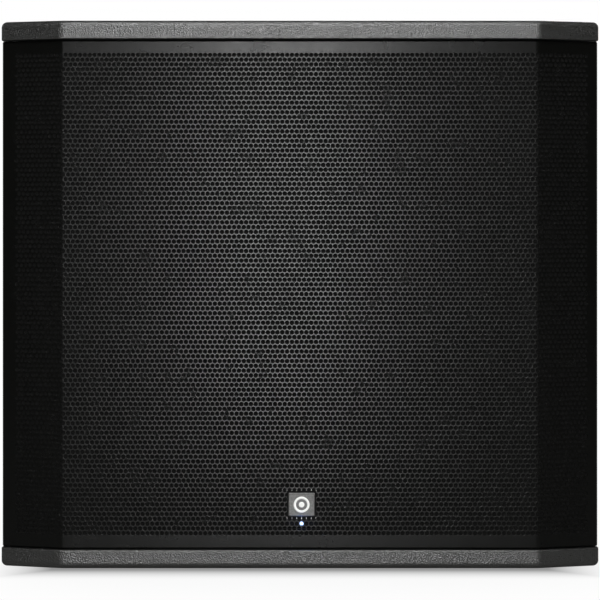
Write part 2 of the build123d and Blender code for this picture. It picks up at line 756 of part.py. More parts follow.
with BuildPart() as xlr_outputs:
    for x, z in output_places:
        with BuildSketch(face_plane(plate_back + flange_thickness)):
            with Locations((x, z)):
                RectangleRounded(26, 31, 2.5)
        extrude(amount=flange_thickness)
        rod(barrel_radius, (x, plate_front - jack_depth, z), (x, plate_back, z))
        rod(9.3, (x, plate_back - 14, z), (x, plate_back + flange_thickness, z), mode=Mode.SUBTRACT)
        for turn in (90, 210, 330):
            px, pz = x + 4.5 * cos(radians(turn)), z + 4.5 * sin(radians(turn))
            rod(1.2, (px, plate_back - 15, pz), (px, plate_back - 2, pz))
save(xlr_outputs, "xlr_outputs")

with BuildPart() as iec_inlet:
    x, z = inlet_place
    with BuildSketch(face_plane(plate_back + flange_thickness)):
        with Locations((x, z)):
            RectangleRounded(50, 26, 3)
    extrude(amount=flange_thickness)
    block((x - 13.8, plate_front - 16, z - 9.8), (x + 13.8, plate_back, z + 9.8))
    block((x - 12.2, plate_back - 16, z - 8.2), (x + 12.2, plate_back + 4, z + 8.2), mode=Mode.SUBTRACT)
    for dx, dz in ((-7, -1), (0, 3), (7, -1)):
        block((x + dx - 1, plate_back - 17, z + dz - 2), (x + dx + 1, plate_back - 2, z + dz + 2))
save(iec_inlet, "iec_inlet")

pivot_y = plate_back - 3
pivot_radius = 1.5
rocker_tilt = 7
with BuildPart() as switch_frame:
    x, z = switch_place
    with BuildSketch(face_plane(plate_back + flange_thickness)):
        with Locations((x, z)):
            RectangleRounded(32, 26, 2)
    extrude(amount=flange_thickness)
    block((x - 13.8, plate_front - 14, z - 10.8), (x + 13.8, plate_back, z + 10.8))
    block((x - 11.5, plate_front - 6, z - 9.2), (x + 11.5, plate_back + 4, z + 9.2), mode=Mode.SUBTRACT)
    pin_ends = ((x - 12.8, pivot_y, z), (x + 12.8, pivot_y, z))
    rod(pivot_radius + 0.08, *pin_ends, mode=Mode.SUBTRACT)
save(switch_frame, "switch_frame")

with BuildPart() as power_rocker:
    x, z = switch_place
    with BuildSketch(Plane.YZ.offset(x - 11)) as paddle:
        Polygon(
            (pivot_y - 3, z - 2),
            (plate_back + 1.5, z - 8.2),
            (plate_back + 3.2, z - 8.2),
            (plate_back + 1.2, z),
            (plate_back + 3.2, z + 8.2),
            (plate_back + 1.5, z + 8.2),
            (pivot_y - 3, z + 2),
            align=None,
        )
    extrude(amount=22)
    rod(pivot_radius, (x - 12.6, pivot_y, z), (x + 12.6, pivot_y, z))
upright_rocker = power_rocker.part
with BuildPart() as power_rocker:
    add(upright_rocker.rotate(Axis((0, pivot_y, switch_place[1]), (1, 0, 0)), rocker_tilt))
save(power_rocker, "power_rocker")

# ================================================================ handles
handle_depth = 70
dish_wall = 2
dish_taper = 9.7
bar_x = half_width - 21
grip_radius = 13
bar_end_radius = 6
side_plane = Plane(origin=(half_width, handle_y, handle_z), x_dir=(0, 1, 0), z_dir=(-1, 0, 0))
with BuildPart() as handle_cup_right:
    with BuildSketch(side_plane):
        RectangleRounded(*handle_flange, 12)
    extrude(amount=handle_flange_thickness)
    with BuildSketch(side_plane):
        RectangleRounded(*handle_opening, 19)
    extrude(amount=handle_depth, taper=dish_taper)
    with BuildSketch(side_plane):
        RectangleRounded(handle_opening[0] - 2 * dish_wall, handle_opening[1] - 2 * dish_wall, 17)
    extrude(amount=handle_depth - dish_wall, taper=dish_taper, mode=Mode.SUBTRACT)
    reach = handle_opening[0] / 2 + 2
    bar_line = [(bar_x, handle_y + s * reach, handle_z) for s in (-1, 1)]
    rod(bar_end_radius + 0.1, *bar_line, mode=Mode.SUBTRACT)
    for y, z in handle_screw_places():
        rod(pilot_radius + 0.2, (half_width - 4, y, z), (half_width, y, z), mode=Mode.SUBTRACT)
        rod(4.2, (half_width - 1.5, y, z), (half_width, y, z), mode=Mode.SUBTRACT)
save(handle_cup_right, "handle_cup_right")

with BuildPart() as handle_bar_right:
    rod(bar_end_radius, *[(bar_x, handle_y + s * (reach - 2), handle_z) for s in (-1, 1)])
    rod(grip_radius, *[(bar_x, handle_y + s * 84, handle_z) for s in (-1, 1)])
    fillet(handle_bar_right.edges().filter_by(GeomType.CIRCLE).sort_by(SortBy.LENGTH)[-2:], radius=4)
save(handle_bar_right, "handle_bar_right")

with BuildPart() as handle_cup_left:
    add(mirror(handle_cup_right.part, about=Plane.YZ, mode=Mode.PRIVATE))
save(handle_cup_left, "handle_cup_left")

with BuildPart() as handle_bar_left:
    add(mirror(handle_bar_right.part, about=Plane.YZ, mode=Mode.PRIVATE))
save(handle_bar_left, "handle_bar_left")

# ================================================================ pole socket, feet, screws
cup_radius = 17.75
cup_depth = 60
thread_radius = 8.65  # inside of an M20 thread
thread_length = 35
cup_floor = top_z - cup_depth
with BuildPart() as pole_socket:
    with Locations((*pole_place, top_z - pole_flange_thickness / 2)):
        Box(pole_flange, pole_flange, pole_flange_thickness)
    rod(21, (*pole_place, cup_floor - thread_length), (*pole_place, top_z - 1))
    rod(cup_radius, (*pole_place, cup_floor), (*pole_place, top_z), mode=Mode.SUBTRACT)
    rod(thread_radius, (*pole_place, cup_floor - thread_length), (*pole_place, top_z), mode=Mode.SUBTRACT)
    pole_screw_places = [
        (pole_place[0] + sx * pole_screw_pitch / 2, pole_place[1] + sy * pole_screw_pitch / 2)
        for sx in (-1, 1)
        for sy in (-1, 1)
    ]
    for x, y in pole_screw_places:
        rod(pilot_radius + 0.2, (x, y, top_z - 4), (x, y, top_z), mode=Mode.SUBTRACT)
        rod(4.2, (x, y, top_z - 1.5), (x, y, top_z), mode=Mode.SUBTRACT)
save(pole_socket, "pole_socket")

foot_recess = 4
with BuildPart() as feet:
    for x, y in feet_places:
        with BuildSketch(Plane.XY):
            with Locations((x, y)):
                Circle(19)
        extrude(amount=foot_height, taper=-6)
        rod(5.5, (x, y, 0), (x, y, foot_recess), mode=Mode.SUBTRACT)
        rod(pilot_radius + 0.2, (x, y, 0), (x, y, foot_height), mode=Mode.SUBTRACT)
save(feet, "feet")

with BuildPart() as wood_screws:
    for x, y in feet_places:
        rod(4.5, (x, y, foot_recess - 2.5), (x, y, foot_recess))
        rod(screw_radius, (x, y, foot_recess), (x, y, base_z + 14))
    for x, y in pole_screw_places:
        rod(4, (x, y, top_z - 1.5), (x, y, top_z))
        rod(screw_radius, (x, y, top_z - 16), (x, y, top_z - 1.5))
    for side in (-1, 1):
        for y, z in handle_screw_places():
            rod(4, (side * (half_width - 1.5), y, z), (side * half_width, y, z))
            rod(screw_radius, (side * (inner_half + 3), y, z), (side * (half_width - 1.5), y, z))
    for x, z in bracket_screw_places:
        rod(4, (x, baffle_front - sheet - 2, z), (x, baffle_front - sheet, z))
        rod(screw_radius, (x, baffle_front - sheet, z), (x, baffle_back - 3, z))
save(wood_screws, "wood_screws")


# ================================================================ leads held inside the cabinet
def lead(name, radius, route):
    """Tube of straight runs joined by arcs that are as large as the runs allow."""
    points = [Vector(*p) for p in route]
    radii = []
    for before, at, after in zip(points, points[1:], points[2:]):
        turn = radians((at - before).get_angle(after - at))
        shorter = min((at - before).length, (after - at).length)
        radii.append(0.45 * shorter / tan(turn / 2))
    print(name, "radii", [round(r) for r in radii])
    with BuildPart() as tube:
        with BuildLine() as path:
            FilletPolyline(*points, radius=radii)
        with BuildSketch(Plane(origin=points[0], z_dir=points[1] - points[0])):
            Circle(radius)
        sweep(path=path.wires()[0])
    expected = pi * radius**2 * path.wires()[0].length
    print(name, "length", round(path.wires()[0].length), "volume ratio", round(tube.part.volume / expected, 4))
    save(tube, name)


terminal_face = terminal_origin + terminal_out * terminal_height
terminal_approach = terminal_face + terminal_out * 70
lead(
    "speaker_lead",
    3.5,
    [
        (speaker_exit[0], cover_front, speaker_exit[1]),
        (speaker_exit[0], cover_front - 62, speaker_exit[1]),
        (84, 84, 350),
        (122, 8, 346),
        (176, -58, 330),
        tuple(terminal_approach),
        tuple(terminal_face),
    ],
)
lead(
    "led_lead",
    2,
    [
        (badge_x, bracket_front + 4, led_z),
        (badge_x, bracket_front + 26, led_z),
        (led_lead_hole[0], baffle_front - 14, led_lead_hole[1]),
        (led_lead_hole[0], baffle_back + 12, led_lead_hole[1]),
        (10, -210, 56),
        (-4, -158, 68),
        (-22, -102, 82),
        (-44, -48, 100),
        (-62, 8, 118),
        (-70, 66, 132),
        (-64, 124, 144),
        (led_exit[0], cover_front - 40, led_exit[1]),
        (led_exit[0], cover_front, led_exit[1]),
    ],
)
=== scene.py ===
"""Looks of the powered subwoofer cabinet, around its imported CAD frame.

Metres, in the frame's axes: X runs right, Y from the front to the back, Z up.
"""

import json
from math import atan2, cos, pi, radians, sin, tan

import bmesh
import bpy
import numpy as np
from mathutils import Matrix, Vector


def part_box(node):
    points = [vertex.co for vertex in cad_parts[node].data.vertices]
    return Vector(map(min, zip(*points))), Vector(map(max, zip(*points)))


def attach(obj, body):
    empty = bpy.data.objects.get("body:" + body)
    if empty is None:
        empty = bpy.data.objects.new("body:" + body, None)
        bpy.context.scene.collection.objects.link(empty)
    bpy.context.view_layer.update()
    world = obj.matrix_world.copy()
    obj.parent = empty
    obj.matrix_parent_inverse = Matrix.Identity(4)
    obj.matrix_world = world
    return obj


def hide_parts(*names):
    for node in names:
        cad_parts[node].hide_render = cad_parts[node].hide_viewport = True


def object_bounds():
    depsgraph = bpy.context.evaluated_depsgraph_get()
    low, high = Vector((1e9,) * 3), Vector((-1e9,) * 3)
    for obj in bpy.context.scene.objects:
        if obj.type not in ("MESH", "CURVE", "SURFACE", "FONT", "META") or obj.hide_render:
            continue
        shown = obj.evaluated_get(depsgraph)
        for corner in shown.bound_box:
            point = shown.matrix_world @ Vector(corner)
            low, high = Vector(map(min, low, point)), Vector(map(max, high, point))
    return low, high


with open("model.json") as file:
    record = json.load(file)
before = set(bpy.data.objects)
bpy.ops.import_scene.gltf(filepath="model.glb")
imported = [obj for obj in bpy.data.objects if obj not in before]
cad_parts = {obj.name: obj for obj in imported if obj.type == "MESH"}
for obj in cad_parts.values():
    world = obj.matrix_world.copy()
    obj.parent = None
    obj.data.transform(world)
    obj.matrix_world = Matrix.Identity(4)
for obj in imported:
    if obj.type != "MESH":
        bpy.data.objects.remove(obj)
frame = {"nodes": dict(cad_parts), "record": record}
cad_low, cad_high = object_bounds()
scene = bpy.context.scene
CABINET = "cabinet"

# ---------------------------------------------------------------- the cabinet's plan, as in the CAD
HALF_WIDTH = cad_high.x
FRONT = cad_low.y
FACET_WIDTH, FACET_DEPTH = 0.0656, 0.022
FACET_ANGLE = atan2(FACET_DEPTH, FACET_WIDTH)
BEND_X = HALF_WIDTH - FACET_WIDTH


# ================================================================ node materials
class Look:
    """A Principled material built from procedural nodes, in the row frame's metres."""

    def __init__(self, name, colour=(0.5, 0.5, 0.5), roughness=0.5, metallic=0.0, specular=0.5):
        self.material = bpy.data.materials.new(name)
        self.material.use_nodes = True
        self.nodes = self.material.node_tree.nodes
        self.links = self.material.node_tree.links
        self.shader = self.nodes["Principled BSDF"]
        self.set("Base Color", (*colour, 1))
        self.set("Roughness", roughness)
        self.set("Metallic", metallic)
        self.set("Specular IOR Level", specular)
        self.place = self.nodes.new("ShaderNodeTexCoord").outputs["Object"]
        self.normal = None

    def set(self, socket, value):
        self.shader.inputs[socket].default_value = value

    def stretched(self, scale):
        """The place, with each axis scaled, for grain that runs one way."""
        node = self.nodes.new("ShaderNodeMapping")
        self.links.new(self.place, node.inputs["Vector"])
        node.inputs["Scale"].default_value = scale
        return node.outputs["Vector"]

    def texture(self, kind, scale, where=None, output=0, **values):
        node = self.nodes.new(f"ShaderNodeTex{kind}")
        self.links.new(where or self.place, node.inputs["Vector"])
        node.inputs["Scale"].default_value = scale
        for key, value in values.items():
            if hasattr(node, key):
                setattr(node, key, value)
            else:
                node.inputs[key.replace("_", " ").title()].default_value = value
        return node.outputs[output]

    def noise(self, scale, where=None, detail=3.0):
        return self.texture("Noise", scale, where, detail=detail)

    def cells(self, scale, where=None, **values):
        return self.texture("Voronoi", scale, where, **values)

    def math(self, operation, a, b=0.0, clamp=False):
        node = self.nodes.new("ShaderNodeMath")
        node.operation = operation
        node.use_clamp = clamp
        for socket, value in zip(node.inputs, (a, b)):
            if isinstance(value, (int, float)):
                socket.default_value = value
            else:
                self.links.new(value, socket)
        return node.outputs[0]

    def ranged(self, value, low, high, to_low, to_high):
        node = self.nodes.new("ShaderNodeMapRange")
        self.links.new(value, node.inputs["Value"])
        limits = {"From Min": low, "From Max": high, "To Min": to_low, "To Max": to_high}
        for key, number in limits.items():
            node.inputs[key].default_value = number
        return node.outputs["Result"]

    def blend(self, factor, first, second):
        """Colour that goes from first to second with factor. Each is a colour or a socket."""
        node = self.nodes.new("ShaderNodeMix")
        node.data_type = "RGBA"
        self.links.new(factor, node.inputs["Factor"])
        for key, value in (("A", first), ("B", second)):
            socket = next(s for s in node.inputs if s.name == key and s.type == "RGBA")
            if isinstance(value, tuple):
                socket.default_value = (*value, 1)
            else:
                self.links.new(value, socket)
        return next(s for s in node.outputs if s.type == "RGBA")

    def colour(self, factor, first, second, low=0.35, high=0.65):
        result = self.blend(self.ranged(factor, low, high, 0, 1), first, second)
        self.links.new(result, self.shader.inputs["Base Color"])
        return result

    def rough(self, factor, first, second, low=0.3, high=0.7):
        self.links.new(self.ranged(factor, low, high, first, second), self.shader.inputs["Roughness"])

    def bump(self, height, distance, strength=1.0):
        """Adds relief of that height in metres on top of any there is."""
        node = self.nodes.new("ShaderNodeBump")
        node.inputs["Strength"].default_value = strength
        node.inputs["Distance"].default_value = distance
        self.links.new(height, node.inputs["Height"])
        if self.normal:
            self.links.new(self.normal, node.inputs["Normal"])
        self.normal = node.outputs["Normal"]
        self.links.new(self.normal, self.shader.inputs["Normal"])


def grey(level):
    """Neutral colour, a touch warm."""
    return (level, level, level * 0.97)


def grained(
    name, dark, light, roughness, metallic=0.0, grain=900, relief=0.0001, mottle=14, specular=0.5
):
    """Moulded, cast or painted surface: fine grain in relief, slow changes of colour and gloss."""
    look = Look(name, light, roughness[0], metallic, specular)
    look.colour(look.noise(mottle), dark, light)
    look.rough(look.noise(mottle * 4), *roughness)
    look.bump(look.noise(grain, detail=2), relief)
    return look.material


def brushed(name, dark, light, roughness, stretch, metallic=1.0, relief=0.00002):
    """Metal with fine lines along the axis whose stretch is small."""
    look = Look(name, light, roughness[0], metallic)
    lines = look.noise(1.0, look.stretched(stretch), detail=5)
    look.colour(lines, dark, light)
    look.rough(look.noise(1.0, look.stretched([s * 0.6 for s in stretch])), *roughness)
    look.bump(lines, relief)
    return look.material


def textured_coat():
    """Sprayed polyurea: low round bumps of 1 to 2 mm, half-gloss on their tops."""
    look = Look("coat", grey(0.01), 0.4, specular=1.0)
    look.set("IOR", 1.55)
    bumps = look.cells(760, feature="SMOOTH_F1", smoothness=0.5)
    look.colour(look.noise(500), (0.004, 0.0041, 0.0037), (0.010, 0.0103, 0.0092))
    look.rough(look.noise(620), 0.26, 0.5)
    look.bump(bumps, 0.0004)
    look.bump(look.noise(620, detail=1), 0.0002)
    return look.material


def powder_coat():
    """Smooth half-gloss black paint on the grille's steel."""
    look = Look("powder_coat", (0.003, 0.0031, 0.0028), 0.26, specular=0.17)
    look.rough(look.noise(60), 0.24, 0.28)
    look.bump(look.noise(1800, detail=2), 0.00004, 0.7)
    return look.material


def foam_sheet():
    """Dead black open pores, which the grille's holes show."""
    look = Look("open_foam", grey(0.006), 0.95, specular=0.1)
    pores = look.cells(900)
    look.colour(pores, grey(0.002), grey(0.009), 0.1, 0.7)
    look.bump(pores, 0.0004)
    return look.material


def plywood(name, dark, light, along):
    """Wood grain, finest along the axes whose scale is large."""
    look = Look(name, light, 0.6, specular=0.3)
    grain = look.noise(1.0, look.stretched(along), detail=6)
    look.colour(grain, dark, light)
    look.rough(grain, 0.5, 0.75)
    look.bump(grain, 0.0002)
    return look.material


def woven(name, dark, light, pitch, roughness=0.8):
    """Cloth of crossed threads, for a surface that faces the front."""
    look = Look(name, light, roughness, specular=0.25)
    parts = look.nodes.new("ShaderNodeSeparateXYZ")
    look.links.new(look.place, parts.inputs[0])
    warp = look.math("SINE", look.math("MULTIPLY", parts.outputs["X"], 2 * pi / pitch))
    weft = look.math("SINE", look.math("MULTIPLY", parts.outputs["Z"], 2 * pi / pitch))
    threads = look.math("MULTIPLY", warp, weft)
    look.colour(threads, dark, light, -0.8, 0.8)
    look.rough(look.noise(80), roughness - 0.1, roughness + 0.1)
    look.bump(threads, pitch * 0.2)
    return look.material


def turned(name, dark, light, roughness, pitch, metallic=1.0):
    """Rings about the driver's axis, as turning or winding leaves."""
    look = Look(name, light, roughness[0], metallic)
    low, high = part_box("magnet_top_plate")
    shift = look.nodes.new("ShaderNodeVectorMath")
    shift.operation = "SUBTRACT"
    look.links.new(look.place, shift.inputs[0])
    shift.inputs[1].default_value = (0, 0, (low.z + high.z) / 2)
    flat = look.nodes.new("ShaderNodeMapping")
    flat.inputs["Scale"].default_value = (1, 0, 1)
    look.links.new(shift.outputs[0], flat.inputs["Vector"])
    size = look.nodes.new("ShaderNodeVectorMath")
    size.operation = "LENGTH"
    look.links.new(flat.outputs[0], size.inputs[0])
    rings = look.math("SINE", look.math("MULTIPLY", size.outputs["Value"], 2 * pi / pitch))
    look.colour(rings, dark, light, -1, 1)
    look.rough(look.noise(40), *roughness)
    look.bump(rings, pitch * 0.1)
    return look.material


def circuit_board():
    """Green lacquer over a pattern of tracks."""
    look = Look("circuit_board", (0.02, 0.16, 0.07), 0.35)
    lines = look.texture("Brick", 60, output="Fac")
    look.colour(lines, (0.015, 0.12, 0.05), (0.05, 0.30, 0.13), 0.0, 1.0)
    look.rough(look.noise(150), 0.25, 0.5)
    look.bump(lines, 0.00005)
    return look.material


def lamp(name, colour, strength):
    """Lens that glows a little unevenly."""
    look = Look(name, tuple(0.6 * c for c in colour), 0.2)
    glow = look.ranged(look.noise(500), 0.3, 0.7, 0.9 * strength, 1.1 * strength)
    look.set("Emission Color", (*colour, 1))
    look.links.new(glow, look.shader.inputs["Emission Strength"])
    return look.material


LOOKS = {
    "coated_plywood": textured_coat(),
    "black_plywood": plywood("black_plywood", grey(0.008), grey(0.02), (90, 400, 400)),
    "plain_plywood": plywood("birch_plywood", (0.42, 0.27, 0.14), (0.66, 0.49, 0.30), (30, 500, 260)),
    "grille_coat": powder_coat(),
    "foam": foam_sheet(),
    "black_screws": grained("black_screws", grey(0.02), grey(0.06), (0.3, 0.45), 0.7, 1500, 0.00004),
    "badge_metal": grained("badge_metal", grey(0.10), grey(0.16), (0.4, 0.55), 0.5, 2200, 0.00012, 700),
    "black_steel": grained("black_steel", grey(0.003), grey(0.006), (0.7, 0.85), specular=0.15),
    "led_white": lamp("lamp_white", (0.70, 0.85, 1.0), 1.0),
    "cast_basket": grained("cast_basket", grey(0.02), grey(0.04), (0.4, 0.6), 0.3, 700, 0.0002),
    "zinc_steel": turned("zinc_steel", grey(0.42), grey(0.62), (0.25, 0.4), 0.0012),
    "ferrite": grained("ferrite", grey(0.05), grey(0.10), (0.6, 0.8), 0.2, 500, 0.0002),
    "cone_paper": grained("cone_paper", grey(0.02), grey(0.05), (0.7, 0.9), 0.0, 260, 0.0006, 60),
    "cloth": woven("surround_cloth", grey(0.02), grey(0.06), 0.0012),
    "spider_cloth": woven("spider_cloth", (0.35, 0.20, 0.07), (0.6, 0.38, 0.16), 0.0014),
    "coil_former": grained("coil_former", (0.20, 0.14, 0.06), (0.34, 0.25, 0.12), (0.3, 0.5)),
    "copper": turned("copper", (0.45, 0.16, 0.06), (0.75, 0.34, 0.16), (0.25, 0.4), 0.0008),
    "gasket_foam": grained("gasket_foam", grey(0.01), grey(0.02), (0.8, 0.95), 0, 700, 0.0003),
    "terminal_plastic": grained("terminal_plastic", grey(0.01), grey(0.03), (0.4, 0.6)),
    "amp_face": grained("amp_face", grey(0.014), grey(0.024), (0.42, 0.58), 0.0, 1500, 0.00012, 8),
    "cover_metal": brushed("cover_metal", grey(0.5), grey(0.65), (0.3, 0.5), (20, 400, 400)),
    "sink_metal": brushed("sink_metal", grey(0.02), grey(0.045), (0.35, 0.5), (900, 900, 20), 0.7),
    "circuit_board": circuit_board(),
    "wound_core": grained(
        "wound_core", (0.12, 0.06, 0.03), (0.4, 0.2, 0.09), (0.4, 0.6), 0.4, 400, 0.0002, 90
    ),
    "brass_posts": brushed(
        "brass_posts", (0.55, 0.4, 0.16), (0.75, 0.6, 0.28), (0.2, 0.35), (400, 30, 400)
    ),
    "knob_plastic": grained("knob_plastic", grey(0.02), grey(0.035), (0.45, 0.6), 0, 1600, 0.00008),
    "button_plastic": grained("button_plastic", grey(0.12), grey(0.18), (0.35, 0.5), 0, 1600, 0.00005),
    "socket_plastic": grained("socket_plastic", grey(0.012), grey(0.024), (0.35, 0.5), 0, 1400, 0.00006),
    "latch_metal": brushed("latch_metal", grey(0.4), grey(0.6), (0.25, 0.4), (60, 900, 900)),
    "rocker_plastic": grained("rocker_plastic", grey(0.01), grey(0.02), (0.2, 0.3), 0, 900, 0.00003),
    "handle_plastic": grained("handle_plastic", grey(0.012), grey(0.022), (0.45, 0.62), 0, 1100, 0.0002),
    "grip_rubber": grained("grip_rubber", grey(0.012), grey(0.02), (0.65, 0.8), 0, 800, 0.0002),
    "cast_socket": grained("cast_socket", grey(0.02), grey(0.035), (0.4, 0.55), 0.2, 900, 0.0001),
    "foot_rubber": grained("foot_rubber", grey(0.012), grey(0.02), (0.7, 0.85), 0, 700, 0.0002),
    "lead_jacket": grained("lead_jacket", grey(0.01), grey(0.02), (0.4, 0.5), 0, 500, 0.0001),
}
for entry in frame["record"]["subparts"]:
    holder = frame["nodes"][entry["node"]]
    for place in holder.material_slots:
        place.material = LOOKS[entry["material_slot"]]


def piece(name, mesh, look, body=CABINET):
    """Object made of mesh, in that look. It rides on body."""
    made = bpy.data.objects.new(name, mesh)
    scene.collection.objects.link(made)
    if not mesh.materials:
        mesh.materials.append(look)
    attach(made, body)
    return made


# ================================================================ perforated grille
PITCH, ROW_PITCH = 0.005137, 0.0051
HOLE, ROUNDING, SHEET = 0.00212, 0.00042, 0.0015
TOOTH = 0.00012  # rounding left on the window's teeth
FIRST_ROW = 0.0164  # its middle, over the sheet's bottom edge
ROWS, HALF_COLUMNS = 101, 120
MIDDLE = 0.0017  # the middle of the pattern, which the badge and the lamp share
CORNERS = 12  # of each hole's outline
WINDOW_COLUMNS, WINDOW_ROWS = (-6, 6), (6, 18)  # in half pitches
BENT, BEND_DEPTH = 0.0024, 0.0009  # how far from the window's edge its teeth bend, and how deep
INSET, FOLD, SIDE_FOLD = 0.005, 0.004, 0.002
NUDGE = 0.00001


def sheet_path():
    """The sheet's outer face in plan, from the middle to the end of the side flange, as runs and arcs."""
    low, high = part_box("grille")
    half = high.x
    bend = BEND_X - INSET * tan(FACET_ANGLE / 2)
    turn = pi / 2 - FACET_ANGLE
    fold_run, side_run = FOLD * tan(FACET_ANGLE / 2), SIDE_FOLD * tan(turn / 2)
    facet = (half - bend) / cos(FACET_ANGLE)
    flange = high.y - (low.y + (half - bend) * tan(FACET_ANGLE))
    return (
        ("run", bend - fold_run),
        ("arc", FOLD, FACET_ANGLE),
        ("run", facet - fold_run - side_run),
        ("arc", SIDE_FOLD, turn),
        ("run", flange - side_run),
    )


def along_sheet(u, depth):
    """Plan position of points at length u from the middle along the sheet, at a depth under its face."""
    side = np.where(u < 0, -1.0, 1.0)
    left = np.abs(u).copy()
    x, y = np.zeros_like(left), np.full_like(left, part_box("grille")[0].y)
    heading = np.zeros_like(left)
    for part in sheet_path():
        length = part[1] if part[0] == "run" else part[1] * part[2]
        used = np.clip(left, 0, length)
        if part is sheet_path()[-1]:
            used = left
        if part[0] == "run":
            x += used * np.cos(heading)
            y += used * np.sin(heading)
        else:
            after = heading + used / part[1]
            x += part[1] * (np.sin(after) - np.sin(heading))
            y += part[1] * (np.cos(heading) - np.cos(after))
            heading = after
        left = left - used
    return side * (x - depth * np.sin(heading)), y + depth * np.cos(heading)


def path_columns():
    """Lengths along the sheet where its solid margin needs vertices, from the pattern outwards."""
    parts = sheet_path()
    start = parts[0][1] + parts[1][1] * parts[1][2] + parts[2][1]
    turn = parts[3][1] * parts[3][2]
    steps = 6
    columns = [start + turn * i / steps for i in range(steps + 1)]
    return columns + [start + turn + parts[4][1]]


def grille_mesh():
    """Folded sheet with staggered round holes, a window for the badge, and rolled edges."""
    low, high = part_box("grille")
    first_z = low.z + FIRST_ROW
    spread = HALF_COLUMNS + 1
    margin = path_columns()
    across = np.concatenate(
        [-np.array(margin[::-1]), MIDDLE + np.arange(-spread, spread + 1) * PITCH / 2, np.array(margin)]
    )
    up = first_z + np.arange(-1, 2 * ROWS) * ROW_PITCH / 2
    columns, rows, extra = len(across), len(up), len(margin)
    u, z = np.meshgrid(across, up)
    points = [np.stack([u.ravel(), z.ravel(), np.full(u.size, depth)], 1) for depth in (0.0, SHEET)]
    # Which way each point faces: along the sheet, up it and into it.
    tilts = [np.broadcast_to((0.0, 0.0, out), (u.size, 3)) for out in (-1.0, 1.0)]
    back = u.size
    faces = {3: [], 4: []}

    def add(array):
        array = np.asarray(array).reshape(-1, np.shape(array)[-1])
        faces.setdefault(array.shape[1], []).append(array)

    def grid(i, j):
        """Index of the front vertex at a half pitch and half row."""
        return (np.asarray(j) + 1) * columns + np.asarray(i) + spread + extra

    def both(array):
        """A face of the sheet's front, and its twin on the back, which faces the other way."""
        add(array)
        add(np.asarray(array)[..., ::-1] + back)

    hole_i, hole_j = [], []
    for row in range(ROWS):
        offsets = np.arange(-HALF_COLUMNS, HALF_COLUMNS + 1)
        offsets = offsets[offsets % 2 == row % 2]
        hole_i.append(offsets)
        hole_j.append(np.full(len(offsets), 2 * row))
    hole_i, hole_j = np.concatenate(hole_i), np.concatenate(hole_j)
    count = len(hole_i)
    turns = np.arange(CORNERS) * 2 * pi / CORNERS
    starts, total = [], 2 * back
    at_window = np.isin(hole_j, WINDOW_ROWS) & (np.abs(hole_i) <= WINDOW_COLUMNS[1] + 1)
    rounding = np.where(at_window, TOOTH, ROUNDING)[:, None]
    levels = (  # the punch drew each edge down in a shallow dome before it cut: radius, depth and lean
        (HOLE + rounding, 0 * rounding, 0),
        (HOLE + rounding * 0.25, rounding * 0.17, radians(26)),
        (HOLE, rounding * 0.5, radians(85)),
        (HOLE, SHEET, radians(90)),
    )
    for radius, depth, lean in levels:
        ring_u = MIDDLE + hole_i[:, None] * PITCH / 2 + radius * np.cos(turns)
        ring_z = first_z + hole_j[:, None] * ROW_PITCH / 2 + radius * np.sin(turns)
        depths = np.broadcast_to(depth, ring_u.shape)
        points.append(np.stack([ring_u.ravel(), ring_z.ravel(), depths.ravel()], 1))
        outwards = np.full(CORNERS, -cos(lean))
        tilt = np.stack([-sin(lean) * np.cos(turns), -sin(lean) * np.sin(turns), outwards], 1)
        tilts.append(np.tile(tilt, (count, 1)))
        starts.append(total)
        total += ring_u.size

    steps = ((1, 0), (1, 1), (0, 1), (-1, 1), (-1, 0), (-1, -1), (0, -1), (1, -1))
    outer = [grid(hole_i + di, hole_j + dj) for di, dj in steps]
    per_side = CORNERS // 4
    order = np.arange(count) * CORNERS

    def ring(level, corner):
        return starts[level] + order + corner % CORNERS

    kept = []
    for side in range(4):
        middle_i = hole_i + (0.5, -0.5, -0.5, 0.5)[side]
        middle_j = hole_j + (0.5, 0.5, -0.5, -0.5)[side]
        kept.append(
            ~(
                (middle_i > WINDOW_COLUMNS[0])
                & (middle_i < WINDOW_COLUMNS[1])
                & (middle_j > WINDOW_ROWS[0])
                & (middle_j < WINDOW_ROWS[1])
            )
        )
    for side in range(4):
        use = kept[side]
        a, b, c = (outer[(2 * side + step) % 8][use] for step in range(3))
        first = side * per_side
        for level, shift, flip in ((0, 0, 1), (3, back, -1)):
            r = [ring(level, first + step)[use] for step in range(per_side + 1)]
            add(np.stack([a + shift, b + shift, r[1], r[0]][::flip], 1))
            add(np.stack([b + shift, r[2], r[1]][::flip], 1))
            add(np.stack([b + shift, c + shift, r[3], r[2]][::flip], 1))
        for level in (0, 1, 2):
            for step in range(first, first + per_side):
                add(
                    np.stack(
                        [
                            ring(level, step)[use],
                            ring(level, step + 1)[use],
                            ring(level + 1, step + 1)[use],
                            ring(level + 1, step)[use],
                        ],
                        1,
                    )
                )
        # Where only one of the quarters on the two sides of a spoke is left, its cut closes the sheet.
        spoke, corner = outer[2 * side], first
        section = np.stack([spoke, *(ring(level, corner) for level in range(4)), spoke + back], 1)
        add(section[kept[side] & ~kept[side - 1]])
        add(section[~kept[side] & kept[side - 1]][:, ::-1])
    for side, (start, end), edge in (
        (0, (0, 1), WINDOW_COLUMNS[1]),
        (3, (7, 0), WINDOW_COLUMNS[1]),
        (1, (3, 4), WINDOW_COLUMNS[0]),
        (2, (4, 5), WINDOW_COLUMNS[0]),
    ):
        use = ~kept[side] & (hole_i + steps[start if start in (3, 7) else end][0] == edge)
        use &= (hole_i + np.sign(edge) == edge)
        a, b = outer[start][use], outer[end][use]
        add(np.stack([a, b, b + back, a + back], 1))

